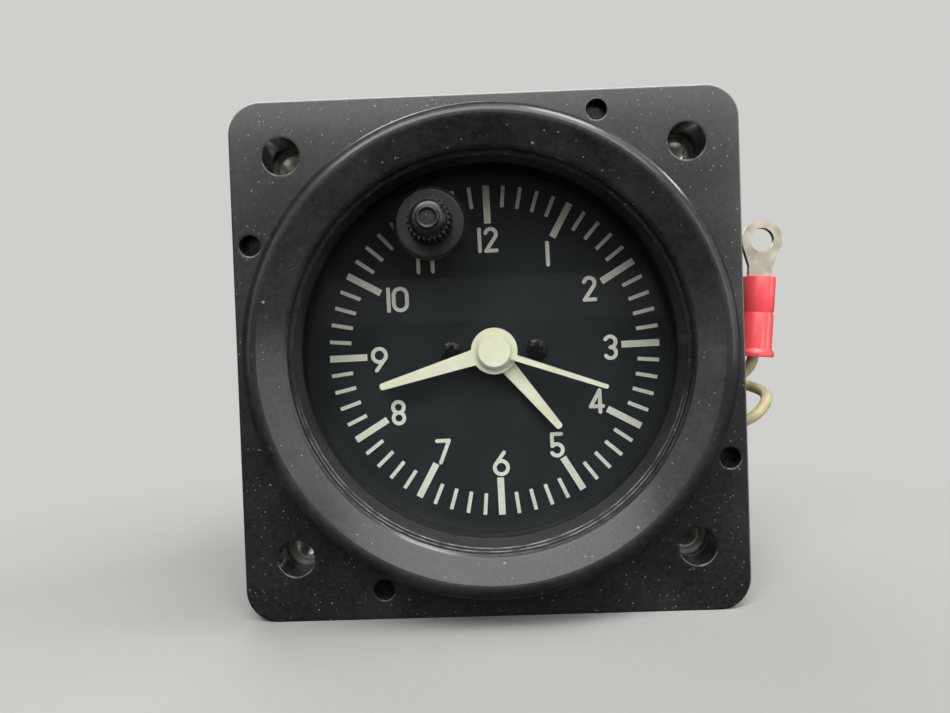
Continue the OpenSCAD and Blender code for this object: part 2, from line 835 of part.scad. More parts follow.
module cap_screws() {
    color("#b9b6ad") dial_frame() at_cap_screws() difference() {
        union() {
            translate([0, 0, -tube_wall]) cylinder(r = cap_screw_r - press_fit, h = tube_wall + cap_wall);
            translate([0, 0, cap_wall]) intersection() {
                cylinder(r = cap_screw_head_r, h = cap_screw_head_t);
                translate([0, 0, cap_screw_head_t - cap_screw_dome_r]) sphere(r = cap_screw_dome_r);
            }
        }
        translate([0, 0, cap_wall + cap_screw_head_t - drive_depth])
            linear_extrude(cut_past) cross_slot(cap_screw_head_r);
    }
}

// Bushing in the lens that the stem turns in
module knob_bushing() {
    flange_back = lens_front - bushing_seal_t;
    bevel = 0.4;
    color("#26272a") dial_frame() at_stem() difference() {
        union() {
            slab(flange_back - bushing_flange_t + bevel, flange_back) circle(bushing_flange_r);
            translate([0, 0, bushing_flange_t - flange_back - bevel])
                cylinder(r1 = bushing_flange_r, r2 = bushing_flange_r - bevel, h = bevel);
            slab(flange_back, lens_back) circle(bushing_barrel_r);
        }
        slab(flange_back - bushing_flange_t - cut_past, lens_back + cut_past) circle(stem_r + run_fit);
    }
}

module bushing_seal() {
    color("#151515") dial_frame() at_stem() slab(lens_front - bushing_seal_t, lens_front)
        annulus(bushing_flange_r - seat_fit, bushing_barrel_r + press_fit);
}

module bushing_nut() {
    color("#b9a15a") dial_frame() at_stem() slab(lens_back - bushing_nut_t, lens_back) difference() {
        circle(bushing_nut_r, $fn = 6);
        circle(bushing_barrel_r + press_fit);
    }
}

// Bush in the dial that the setting wheel runs on
module setting_bush() {
    wheel_back = minute_level + wheel_t;
    color("#b9a15a") dial_frame() at_stem() difference() {
        union() {
            slab(dial_front, wheel_back + wheel_hub_gap) circle(bush_r);
            slab(dial_back, minute_level - wheel_hub_gap) circle(bush_flange_r);
            slab(wheel_back + wheel_hub_gap, wheel_back + wheel_hub_gap + bush_flange_t)
                circle(bush_flange_r);
        }
        slab(dial_front - cut_past, wheel_back + wheel_hub_gap + bush_flange_t + cut_past)
            circle(stem_r + run_fit);
    }
}

module at_guide_pin() {
    at_axis() translate(polar(stem_at - slide_pin_at, stem_dir)) children();
}

module guide_pin() {
    color("#c2c4c6") dial_frame() at_guide_pin() slab(front_plate_back, back_plate_front)
        circle(guide_pin_r);
}

// Holes that the plates share
module plate_outline(bore_at_centre, bore_at_stem) {
    difference() {
        circle(plate_r);
        at_stem() circle(bore_at_stem);
        at_axis() {
            circle(bore_at_centre);
            translate(polar(third_at, third_dir)) circle(third_arbor_r + run_fit);
            translate(polar(rotor_at, motor_dir)) circle(rotor_arbor_r + run_fit);
        }
        at_pillars() circle(plate_screw_r + run_fit);
    }
}

module front_plate() {
    color("#b9a15a") dial_frame() slab(front_plate_front, front_plate_back) difference() {
        plate_outline(minute_pipe_r + run_fit, clutch_hole_r);
        at_dial_screws() circle(dial_screw_r + run_fit);
    }
}

module back_plate() {
    color("#b9a15a") dial_frame() slab(back_plate_front, back_plate_back)
        plate_outline(seconds_arbor_r + run_fit, stem_r + run_fit);
}

module plate_pillars() {
    color("#c9b56b") dial_frame() at_pillars() slab(front_plate_back, back_plate_front)
        annulus(pillar_r, plate_screw_r + press_fit);
}

module plate_screws() {
    color("#8f9296") dial_frame() at_pillars() difference() {
        union() {
            slab(front_plate_front - plate_screw_head_t, front_plate_front) circle(plate_screw_head_r);
            slab(front_plate_front, board_front) circle(plate_screw_r);
        }
        slab(front_plate_front - plate_screw_head_t - cut_past,
            front_plate_front - plate_screw_head_t + drive_depth)
            cross_slot(plate_screw_head_r);
    }
}

module dial_pillars() {
    color("#c9b56b") dial_frame() at_dial_screws() slab(dial_back, front_plate_front)
        annulus(dial_pillar_r, dial_screw_r + press_fit);
}

// Fixed studs that the minute, idler and step wheels turn on
module wheel_studs() {
    color("#c2c4c6") dial_frame() at_axis() {
        for (at = [minute_wheel_at, idler_at]) translate(polar(at, stem_dir)) {
            slab(hour_level - stud_head, front_plate_front) circle(stud_r);
            slab(minute_level + wheel_t + wheel_hub_gap, front_plate_front) circle(stud_collar * stud_r);
        }
        translate(polar(step_at, motor_dir)) {
            slab(seconds_level - pinion_over, back_plate_front) circle(step_stud_r);
            slab(step_level + wheel_t + end_shake / 2, back_plate_front) circle(stud_collar * step_stud_r);
        }
    }
}

// Frame of soft iron round the rotor, with the core that the coil is wound on
module stator() {
    color("#7c7f82") dial_frame() at_axis() rotate(motor_dir)
        slab(stator_mid - stator_t / 2, stator_mid + stator_t / 2) difference() {
            translate([stator_in, -stator_half_l])
                square([stator_plate_w + stator_gap_w + stator_core_w, 2 * stator_half_l]);
            translate([stator_in + stator_plate_w, stator_arm_l - stator_half_l])
                square([stator_gap_w, 2 * (stator_half_l - stator_arm_l)]);
            translate([rotor_at, 0]) circle(rotor_hole_r);
        }
}

module coil() {
    core_at = stator_in + stator_plate_w + stator_gap_w + stator_core_w / 2;
    color("#a8562c") dial_frame() at_axis() rotate(motor_dir) translate([core_at, 0, -stator_mid])
        difference() {
            rotate([90, 0, 0]) cylinder(r = coil_r, h = coil_l, center = true);
            cube([stator_core_w + 2 * press_fit, coil_l + cut_past, stator_t + 2 * press_fit],
                center = true);
        }
}

module circuit_board() {
    color("#2f5d3a") dial_frame() slab(board_front, board_back) difference() {
        circle(board_r);
        at_pillars() circle(plate_screw_r + run_fit);
        for (x = [power_x, ground_x]) translate([x, grommet_at[1]]) circle(wire_r + run_fit);
    }
}

module board_spacers() {
    color("#d6d2c4") dial_frame() at_pillars() slab(back_plate_back, board_front)
        annulus(pillar_r, plate_screw_r + press_fit);
}

module chip() {
    color("#1c1c1e") dial_frame() translate(concat(chip_at, -board_back - chip_size[2] / 2))
        cube(chip_size, center = true);
}

module crystal() {
    color("#c2c4c6") dial_frame() translate(concat(crystal_at, -board_back - crystal_r))
        rotate([90, 0, 0]) cylinder(r = crystal_r, h = crystal_l, center = true);
}

module capacitor() {
    color("#27324a") dial_frame() translate(capacitor_at) slab(board_back, board_back + capacitor_l)
        circle(capacitor_r);
}

module regulator() {
    color("#1c1c1e") dial_frame() translate(concat(regulator_at, -board_back - regulator_size[2] / 2))
        cube(regulator_size, center = true);
}

module grommet() {
    color("#161616") dial_frame() translate(grommet_at) difference() {
        union() {
            slab(case_depth - grommet_flange_t, case_depth) circle(grommet_flange_r);
            slab(case_depth, cap_back) circle(grommet_r - press_fit);
            slab(cap_back, lead_exit) circle(grommet_flange_r);
        }
        for (side = [-1, 1]) translate([side * lead_side, 0])
            slab(case_depth - grommet_flange_t - cut_past, lead_exit + cut_past) circle(wire_r + press_fit);
    }
}

// Straight ends of the leads between the board and the grommet
module lead_tails() {
    color("#e6d9a8") dial_frame() for (x = [power_x, ground_x]) translate([x, grommet_at[1]])
        slab(board_front, lead_exit) circle(wire_r);
}

// A round tube swept along a route
module tube_along(route, first_side) {
    points = curve(route);
    along = headings(points);
    side = sideways(along, first_side);
    rings = len(points);
    vertices = [for (i = [0:rings - 1], k = [0:wire_sides - 1])
        points[i] + wire_r * (cos(360 * k / wire_sides) * side[i]
            + sin(360 * k / wire_sides) * cross(along[i], side[i]))];
    walls = [for (i = [0:rings - 2], k = [0:wire_sides - 1])
        let (a = i * wire_sides + k, b = i * wire_sides + (k + 1) % wire_sides)
        each [[a, a + wire_sides, b + wire_sides], [a, b + wire_sides, b]]];
    start = [for (k = [1:wire_sides - 2]) [0, k, k + 1]];
    last = (rings - 1) * wire_sides;
    end = [for (k = [1:wire_sides - 2]) [last, last + k + 1, last + k]];
    polyhedron(vertices, concat(walls, start, end));
}

module power_lead() {
    color("#e6d9a8") tube_along(power_route, [1, 0, 0]);
}

module ground_lead() {
    color("#e6d9a8") tube_along(ground_route, [1, 0, 0]);
}

// Places of the two terminals, with z along the wire towards the ring
module at_terminals() {
    translate(power_terminal) rotate([0, power_lean, 0]) children();
    translate(ground_terminal) rotate([90, 0, 0]) children();
}

// Crimp barrel, tongue and ring of each terminal
module ring_terminals() {
    ring_at = [0, sleeve_l + terminal_reach];
    meets = polar(terminal_r, -tongue_meets);
    color("#cfc9b4") at_terminals() {
        translate([0, 0, barrel_gap]) cylinder(r = barrel_r, h = barrel_l);
        translate([0, terminal_t / 2, 0]) rotate([90, 0, 0]) linear_extrude(terminal_t) difference() {
            union() {
                translate(ring_at) circle(terminal_r);
                polygon([[-tongue_w / 2, sleeve_l], [tongue_w / 2, sleeve_l],
                    [tongue_w / 2, sleeve_l + tongue_l], ring_at + meets,
                    ring_at + [-meets[0], meets[1]], [-tongue_w / 2, sleeve_l + tongue_l]]);
            }
            translate(ring_at) circle(terminal_hole_r);
        }
    }
}

// Insulating sleeve over each crimp barrel
module terminal_sleeves() {
    groove_at = 0.55 * sleeve_l;
    color("#d8404c") at_terminals() rotate_extrude() polygon([
        [barrel_r + press_fit, 0], [sleeve_flare_r, 0], [sleeve_flare_r, 0.6 * sleeve_flare_l],
        [sleeve_r, sleeve_flare_l], [sleeve_r, groove_at - sleeve_groove_half],
        [sleeve_r - sleeve_groove_d, groove_at], [sleeve_r, groove_at + sleeve_groove_half],
        [sleeve_r, sleeve_l], [barrel_r + press_fit, sleeve_l]]);
}

// Plate that moves out with the stem but doesn't turn, and clicks at both ends of its travel
module detent_slide() {
    color("#c2c4c6") dial_frame() slab(slide_back - slide_t, slide_back) difference() {
        at_axis() rotate(stem_dir) union() {
            translate([stem_at - slide_pin_at, -slide_w / 2]) square([slide_pin_at, slide_w]);
            translate([stem_at, 0]) circle(slide_w / 2);
            translate([stem_at - slide_pin_at, 0]) circle(slide_w / 2);
        }
        at_stem() circle(stem_r + run_fit);
        at_guide_pin() circle(guide_pin_r + run_fit);
    }
}

// Fluted knob with a rounded front and a raised ring on it
module knob() {
    body_l = knob_l - knob_round;
    shoulder = knob_tip_r - flute_depth - knob_rim_out;
    color("#1e1f21") dial_frame() at_stem() difference() {
        union() {
            translate([0, 0, -knob_front - knob_l])
                linear_extrude(body_l, scale = knob_tip_r / knob_base_r) polygon(
                    [for (k = [0:flutes - 1], p = flute_profile)
                        polar(knob_base_r - flute_depth * p[1], 360 / flutes * (k + p[0]))]);
            translate([0, 0, -knob_front - knob_round]) rotate_extrude() polygon(concat(
                [for (k = [0:knob_round_steps]) let (a = 90 * k / knob_round_steps)
                    [knob_rim_out + shoulder * cos(a), knob_round * sin(a)]],
                [[0, knob_round], [0, 0]]));
            translate([0, 0, -knob_front]) rotate_extrude()
                translate([(knob_rim_in + knob_rim_out) / 2, 0]) circle((knob_rim_out - knob_rim_in) / 2);
        }
        slab(knob_front + knob_l - knob_bore_l, knob_front + knob_l + cut_past) circle(stem_r + press_fit);
    }
}

// Stem with the two collars that carry the detent slide
module setting_stem() {
    color("#c2c4c6") dial_frame() at_stem() {
        slab(knob_front + knob_l - knob_bore_l, back_plate_back + knob_travel + face_gap) circle(stem_r);
        for (front = [slide_back + run_fit, slide_back - slide_t - run_fit - collar_t])
            slab(front, front + collar_t) circle(collar_r);
    }
}

module clutch_disc() {
    front = clutch_front + clutch_ring_t;
    color("#b9a15a") dial_frame() at_stem() slab(front, front + clutch_disc_t)
        annulus(clutch_r, stem_r + press_fit);
}

// Rubber ring that grips the setting wheel when the knob is pulled
module clutch_ring() {
    color("#151515") dial_frame() at_stem() slab(clutch_front, clutch_front + clutch_ring_t)
        annulus(clutch_r, clutch_in_r);
}

module setting_wheel() {
    color("#c9b56b") dial_frame() at_stem() slab(minute_level, minute_level + wheel_t)
        wheel_outline(setting_n, setting_module, setting_phase, bush_r + run_fit, clutch_r);
}

module idler_wheel() {
    color("#c9b56b") dial_frame() at_axis() translate(polar(idler_at, stem_dir))
        slab(minute_level, minute_level + wheel_t)
        wheel_outline(idler_n, setting_module, idler_phase, stud_r + run_fit, idler_hub_r);
}

// Minute wheel with the pinion that drives the hour wheel
module minute_wheel() {
    color("#c9b56b") dial_frame() at_axis() translate(polar(minute_wheel_at, stem_dir)) {
        slab(minute_level, minute_level + wheel_t)
            wheel_outline(minute_n, setting_module, minute_phase, stud_r + run_fit, minute_wheel_hub_r);
        slab(hour_level - pinion_over, minute_level) difference() {
            gear_outline(minute_pinion_n, hour_module, minute_pinion_phase);
            circle(stud_r + run_fit);
        }
    }
}

// Hour wheel and the pipe that carries the hour hand
module hour_wheel() {
    color("#c9b56b") dial_frame() at_axis() {
        slab(hour_level, hour_level + wheel_t)
            wheel_outline(hour_n, hour_module, hour_phase, hour_pipe_in, hour_wheel_hub_r);
        slab(hour_front - pipe_lip, hour_level) annulus(hour_pipe_r, hour_pipe_in);
    }
}

// A tapered hand with a blunt tip that points up
module hand_outline(length, base_w, tip_w, hub_r, bore_r) {
    corner = tip_w / 4;
    difference() {
        union() {
            circle(hub_r);
            polygon([[-base_w / 2, 0], [base_w / 2, 0], [tip_w / 2, length - corner],
                [tip_w / 2 - corner, length], [corner - tip_w / 2, length], [-tip_w / 2, length - corner]]);
        }
        circle(bore_r);
    }
}

module hour_hand() {
    color("#efeade") dial_frame() at_axis() rotate(-hour_hand_at)
        slab(hour_front, hour_front + blade_t)
        hand_outline(hour_hand_l, hand_w, hand_tip, hour_hub_r, hour_pipe_r + press_fit);
}

// Pipe of the minute hand with the cannon pinion
module minute_pipe() {
    color("#c9b56b") dial_frame() at_axis() {
        slab(minute_front - pipe_lip, centre_level + wheel_t) annulus(minute_pipe_r, minute_pipe_in);
        slab(minute_level - pinion_over, minute_level + wheel_t + pinion_over) difference() {
            gear_outline(cannon_n, setting_module, cannon_phase);
            circle(minute_pipe_r);
        }
    }
}

module centre_wheel() {
    color("#c9b56b") dial_frame() at_axis() slab(centre_level, centre_level + wheel_t)
        wheel_outline(centre_n, centre_module, centre_phase, minute_pipe_r + press_fit, centre_hub_r);
}

module minute_hand() {
    color("#efeade") dial_frame() at_axis() rotate(-minute_hand_at)
        slab(minute_front, minute_front + blade_t)
        hand_outline(minute_hand_l, hand_w, hand_tip, minute_hub_r, minute_pipe_r + press_fit);
}

// Arbor of the second hand with its pinion
module seconds_arbor() {
    color("#c2c4c6") dial_frame() at_axis() {
        slab(second_front, back_plate_back + face_gap) circle(seconds_arbor_r);
        slab(third_level - pinion_over, third_level + wheel_t + pinion_over) difference() {
            gear_outline(seconds_pinion_n, third_module, seconds_pinion_phase);
            circle(seconds_arbor_r);
        }
    }
}

module seconds_wheel() {
    color("#c9b56b") dial_frame() at_axis() slab(seconds_level, seconds_level + wheel_t)
        wheel_outline(seconds_n, seconds_module, seconds_phase, seconds_arbor_r + press_fit, seconds_hub_r);
}

module second_hand() {
    color("#f2eee4") dial_frame() at_axis() rotate(-second_hand_at) {
        slab(second_front, second_front + blade_t)
            hand_outline(second_hand_l, second_hand_w, second_tip, second_cap_r,
                seconds_arbor_r + press_fit);
        translate([0, 0, -second_front])
            cylinder(r1 = second_cap_r, r2 = second_cap_r - cap_bevel, h = cap_t);
    }
}

// Third wheel with its arbor and pinion
module third_wheel() {
    color("#c9b56b") dial_frame() at_axis() translate(polar(third_at, third_dir)) {
        slab(front_plate_front, back_plate_back) circle(third_arbor_r);
        slab(centre_level - pinion_over, centre_level + wheel_t + pinion_over)
            gear_outline(third_pinion_n, centre_module, third_pinion_phase);
        slab(third_level, third_level + wheel_t)
            wheel_outline(third_n, third_module, third_phase, third_arbor_r, third_hub_r);
    }
}

// Step wheel and its pinion, on a fixed stud
module step_wheel() {
    color("#c9b56b") dial_frame() at_axis() translate(polar(step_at, motor_dir)) difference() {
        union() {
            slab(seconds_level - pinion_over, step_level)
                gear_outline(step_pinion_n, seconds_module, step_pinion_phase);
            slab(step_level, step_level + wheel_t) gear_outline(step_n, seconds_module, step_phase);
        }
        slab(seconds_level - cut_past, step_level + wheel_t + cut_past) circle(step_stud_r + pivot_fit);
    }
}

// Rotor's arbor with its pinion
module rotor() {
    color("#c2c4c6") dial_frame() at_axis() translate(polar(rotor_at, motor_dir)) {
        slab(front_plate_front, back_plate_back) circle(rotor_arbor_r);
        slab(step_level - pinion_over, step_level + wheel_t + pinion_over)
            gear_outline(rotor_pinion_n, seconds_module, rotor_phase);
    }
}

module rotor_magnet() {
    color("#4b4d50") dial_frame() at_axis() translate(polar(rotor_at, motor_dir))
        slab(stator_mid - rotor_magnet_l / 2, stator_mid + rotor_magnet_l / 2)
        annulus(rotor_magnet_r, rotor_arbor_r + press_fit);
}

bezel();
lens();
lens_gasket();
spacer_ring();
dial();
dial_marks();
dial_numerals();
dial_screws();
mount_nuts();
case_body();
case_screws();
rear_cap();
cap_screws();
knob_bushing();
bushing_seal();
bushing_nut();
setting_bush();
guide_pin();
front_plate();
back_plate();
plate_pillars();
plate_screws();
dial_pillars();
wheel_studs();
stator();
coil();
circuit_board();
board_spacers();
chip();
crystal();
capacitor();
regulator();
grommet();
lead_tails();
power_lead();
ground_lead();
ring_terminals();
terminal_sleeves();
detent_slide();
knob();
setting_stem();
clutch_disc();
clutch_ring();
setting_wheel();
idler_wheel();
minute_wheel();
hour_wheel();
hour_hand();
minute_pipe();
centre_wheel();
minute_hand();
seconds_arbor();
seconds_wheel();
second_hand();
third_wheel();
step_wheel();
rotor();
rotor_magnet();
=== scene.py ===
"""Looks of the panel clock: finishes, leads, light and the camera."""

import json
import math

import bpy
from mathutils import Matrix, Vector


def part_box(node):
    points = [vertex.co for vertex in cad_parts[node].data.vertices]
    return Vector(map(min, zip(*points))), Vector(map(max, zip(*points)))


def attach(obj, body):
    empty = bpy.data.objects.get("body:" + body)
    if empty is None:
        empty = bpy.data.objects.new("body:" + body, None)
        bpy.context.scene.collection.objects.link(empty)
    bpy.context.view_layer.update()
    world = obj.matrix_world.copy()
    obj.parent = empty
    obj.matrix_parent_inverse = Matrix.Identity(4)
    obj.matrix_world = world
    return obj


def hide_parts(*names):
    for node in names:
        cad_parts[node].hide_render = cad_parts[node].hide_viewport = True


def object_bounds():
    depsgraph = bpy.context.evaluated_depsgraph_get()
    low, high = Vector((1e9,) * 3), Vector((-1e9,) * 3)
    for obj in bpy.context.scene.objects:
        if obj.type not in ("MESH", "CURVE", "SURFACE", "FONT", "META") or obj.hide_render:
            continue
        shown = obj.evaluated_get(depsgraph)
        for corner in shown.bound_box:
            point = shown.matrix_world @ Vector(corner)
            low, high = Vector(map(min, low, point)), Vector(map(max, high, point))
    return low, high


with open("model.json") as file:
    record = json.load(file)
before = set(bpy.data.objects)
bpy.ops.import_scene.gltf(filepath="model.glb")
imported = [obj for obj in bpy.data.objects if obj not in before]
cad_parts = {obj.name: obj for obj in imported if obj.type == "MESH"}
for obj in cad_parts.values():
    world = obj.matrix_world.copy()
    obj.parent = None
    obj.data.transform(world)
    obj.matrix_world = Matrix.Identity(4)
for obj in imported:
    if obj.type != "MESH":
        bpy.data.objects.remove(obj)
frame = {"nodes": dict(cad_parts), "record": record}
cad_box = [list(corner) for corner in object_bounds()]

MM = 0.001
NODES = frame["nodes"]
SCENE = bpy.context.scene
SCENE.view_settings.view_transform = "Standard"

# Camera, worked out from the places of the holes, bars and edges in the photograph
IMAGE_WIDTH_PX = 950
FOCAL_PX = 714
SENSOR_MM = 36
CAMERA_AT = Vector((-0.32, -83.25, 1.06)) * MM
CAMERA_TURN = math.radians(0.962)
CAMERA_TILT = math.radians(-1.081)
CAMERA_ROLL = math.radians(-1.982)
NEAREST_SEEN = 5 * MM

# Leads: the wire and its lengths in m, how finely it is drawn, and the points of its routes in mm
WIRE_D = 1.4 * MM
WIRE_ROUNDNESS = 5
WIRE_STEPS = 8
HANDLE_PARTS = 6
POWER_ROUTE = [
    (9.4, 44.8, -8), (9.4, 48.4, -8), (9.8, 52, -9.6), (10.8, 55.6, -13), (12.6, 58.2, -17.6),
    (15.4, 59.8, -22.4), (19.2, 60, -26.8), (23.6, 58.4, -29.6), (28, 55, -30.3), (31.6, 50.4, -30.3),
    (34, 45, -30.3), (35, 39, -30.2), (34.8, 33, -29.4), (34, 27.8, -27.2), (33, 23.6, -23.8),
    (32, 20, -20), (31.2, 16.4, -16.4), (31, 12.9, -13.4), (32, 10, -10.9), (34.1, 9, -9.3),
    (35.7, 10.1, -7.9), (36.4, 12.3, -6.9), (35.6, 14.6, -6.2), (33.8, 15.3, -5.6), (32, 14.1, -5.2),
    (31.6, 11.8, -4.9), (32.3, 9.9, -4.4), (33.4, 9.1, -3.1), (33.95, 9, -1.2), (34.229, 9, 1.288),
]
GROUND_ROUTE = [
    (7, 44.8, -8), (7, 48.4, -8), (6.4, 52.4, -9.8), (4.8, 56.2, -13.4), (2, 59.2, -18),
    (-2, 61.2, -22.6), (-6.8, 62.2, -26.6), (-12, 62, -29.4), (-17.2, 60.4, -30.3),
    (-21.8, 57.4, -30.3), (-25.4, 53.2, -30.2), (-27.6, 48.2, -29.6), (-28.4, 43, -28.8),
    (-28.4, 36.8, -28.6),
]


def place_camera():
    """The camera where the photograph was taken from."""
    data = bpy.data.cameras.new("photo_camera")
    data.sensor_width = SENSOR_MM
    data.lens = SENSOR_MM * FOCAL_PX / IMAGE_WIDTH_PX
    data.clip_start = NEAREST_SEEN
    camera = bpy.data.objects.new("photo_camera", data)
    turn = Matrix.Rotation(CAMERA_TURN, 4, "Z")
    tilt = Matrix.Rotation(math.pi / 2 + CAMERA_TILT, 4, "X")
    roll = Matrix.Rotation(CAMERA_ROLL, 4, "Z")
    camera.matrix_world = Matrix.Translation(CAMERA_AT) @ turn @ tilt @ roll
    SCENE.collection.objects.link(camera)
    SCENE.camera = camera


def lead(name, route, node):
    """A wire along the route, smooth through each of its points, in place of its plain solid."""
    points = [Vector(p) * MM for p in route]
    curve = bpy.data.curves.new(name, "CURVE")
    curve.dimensions = "3D"
    # The wire's radius is given at its points, so that the curve's box fits it
    curve.bevel_depth = 1
    curve.bevel_resolution = WIRE_ROUNDNESS
    curve.resolution_u = WIRE_STEPS
    curve.use_fill_caps = True
    spline = curve.splines.new("BEZIER")
    spline.bezier_points.add(len(points) - 1)
    for k, knot in enumerate(spline.bezier_points):
        before = points[max(k - 1, 0)]
        after = points[min(k + 1, len(points) - 1)]
        reach = (after - before) / HANDLE_PARTS
        knot.co = points[k]
        knot.radius = WIRE_D / 2
        knot.handle_left_type = knot.handle_right_type = "FREE"
        knot.handle_left = points[k] - reach
        knot.handle_right = points[k] + reach
    wire = bpy.data.objects.new(name, curve)
    SCENE.collection.objects.link(wire)
    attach(wire, "case")
    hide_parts(node)
    return wire


place_camera()
wires = [
    lead("power_wire", POWER_ROUTE, "power_lead"),
    lead("ground_wire", GROUND_ROUTE, "ground_lead"),
]

# The bezel: the radius of its opening in mm, and its right and top edges
OPENING_R = 22.05
BEZEL_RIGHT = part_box("bezel")[1][0]
BEZEL_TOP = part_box("bezel")[1][2]

# The coil: its lean from upright, and the width in mm at which each turn of its wire is drawn
COIL_LEAN = math.radians(30)
TURN_WIDTH = 0.2
# The angle that a Wave texture goes through in one unit
WAVE_ANGLE = 20

# A Mix node of colours: its factor, the colour under, the colour over, and what to ask of it
FACTOR = 0
UNDER = 6
OVER = 7
COLOURS = {"data_type": "RGBA", "output": 2}


def linear(colour):
    """An sRGB hex colour as linear red, green, blue and alpha."""
    parts = [int(colour[k:k + 2], 16) / 255 for k in (1, 3, 5)]
    return [c / 12.92 if c <= 0.04045 else ((c + 0.055) / 1.055) ** 2.4 for c in parts] + [1]


def feed(tree, node, inputs):
    """Sets or links the inputs of a node."""
    for name, value in inputs.items():
        if isinstance(value, bpy.types.NodeSocket):
            tree.links.new(value, node.inputs[name])
        else:
            node.inputs[name].default_value = value


def add(tree, kind, inputs, output=0, **settings):
    """Adds a node with its settings and inputs, and gives back one of its outputs."""
    node = tree.nodes.new("ShaderNode" + kind)
    for name, value in settings.items():
        setattr(node, name, value)
    feed(tree, node, inputs)
    return node.outputs[output]


def begin(name, values):
    """A material, its shader with the values that hold all over it, and its piece's own coordinates."""
    material = bpy.data.materials.new(name)
    material.use_nodes = True
    tree = material.node_tree
    shader = tree.nodes["Principled BSDF"]
    feed(tree, shader, values)
    place = add(tree, "TexCoord", {}, "Object")
    return material, tree, shader, place


def patches(tree, place, size, low, high, to_low=0.0, to_high=1.0, detail=3.0):
    """Cloudy patches about size mm wide, stretched from low to high over to_low to to_high."""
    cloud = add(tree, "TexNoise", {"Vector": place, "Scale": 1 / (size * MM), "Detail": detail})
    return add(tree, "MapRange", {
        "Value": cloud, "From Min": low, "From Max": high, "To Min": to_low, "To Max": to_high,
    })


def tooth(tree, place, size, depth, strength=1.0):
    """The normal of a surface with bumps about size mm wide and depth mm high."""
    cloud = add(tree, "TexNoise", {"Vector": place, "Scale": 1 / (size * MM), "Detail": 3.0})
    return add(tree, "Bump", {"Height": cloud, "Distance": depth * MM, "Strength": strength})


def specks(tree, place, spacing, radius, share, strength=1.0):
    """Round specks: their cells are spacing mm wide, and that share of the cells has one."""
    distance = add(tree, "TexVoronoi", {"Vector": place, "Scale": 1 / (spacing * MM)}, "Distance")
    near = add(tree, "MapRange", {
        "Value": distance, "From Min": radius / spacing / 2, "From Max": radius / spacing,
        "To Min": strength, "To Max": 0.0,
    })
    chance = distance.node.outputs["Color"]
    kept = add(tree, "Math", {0: chance, 1: 1 - share}, operation="GREATER_THAN")
    return add(tree, "Math", {0: near, 1: kept}, operation="MULTIPLY")


def edges(tree, radius, strength=1.0):
    """The strength at the sharp edges of a piece and 0 away from them, over a width of radius mm."""
    rounded = add(tree, "Bevel", {"Radius": radius * MM}, samples=6)
    flat = add(tree, "NewGeometry", {}, "Normal")
    along = add(tree, "VectorMath", {0: rounded, 1: flat}, "Value", operation="DOT_PRODUCT")
    return add(tree, "MapRange", {
        "Value": along, "From Min": 0.86, "From Max": 0.99, "To Min": strength, "To Max": 0.0,
    })


def bezel_coat(tree, place):
    """The weight of the sealed film: even, but none at the wall of the opening."""
    across = add(tree, "VectorMath", {0: place, 1: (1, 0, 1)}, operation="MULTIPLY")
    out = add(tree, "VectorMath", {0: across}, "Value", operation="LENGTH")
    past_wall = add(tree, "Math", {0: out, 1: OPENING_R * MM}, operation="SUBTRACT")
    aside = add(tree, "Math", {0: past_wall}, operation="ABSOLUTE")
    return add(tree, "MapRange", {
        "Value": aside, "From Min": 0.3 * MM, "From Max": 0.6 * MM, "To Min": 0.0, "To Max": 0.6,
    })


def bezel_dust(tree, place, colour):
    """The colour under a thin film of dust, fluff on what faces up, and specks of two sizes."""
    film = patches(tree, place, 9, 0.45, 0.8, 0.0, 0.12, 6.0)
    filmed = add(tree, "Mix", {FACTOR: film, UNDER: colour, OVER: linear("#6d6b66")}, **COLOURS)
    facing = add(tree, "SeparateXYZ", {0: add(tree, "NewGeometry", {}, "Normal")}, "Z")
    upward = add(tree, "MapRange", {"Value": facing, "From Min": 0.5, "From Max": 0.95})
    fluff = patches(tree, place, 0.2, 0.52, 0.66, 0.0, 0.3, 4.0)
    lying = add(tree, "Math", {0: upward, 1: fluff}, operation="MULTIPLY")
    settled = add(tree, "Mix", {FACTOR: lying, UNDER: filmed, OVER: linear("#8d8b85")}, **COLOURS)
    fine = specks(tree, place, 0.55, 0.11, 0.3)
    large = specks(tree, place, 2.4, 0.2, 0.42)
    grains = add(tree, "Math", {0: fine, 1: large}, operation="MAXIMUM")
    faint = patches(tree, place, 1.1, 0.38, 0.68, 0.05, 0.8)
    seen = add(tree, "Math", {0: grains, 1: faint}, operation="MULTIPLY")
    return add(tree, "Mix", {FACTOR: seen, UNDER: settled, OVER: linear("#a3a19a")}, **COLOURS)


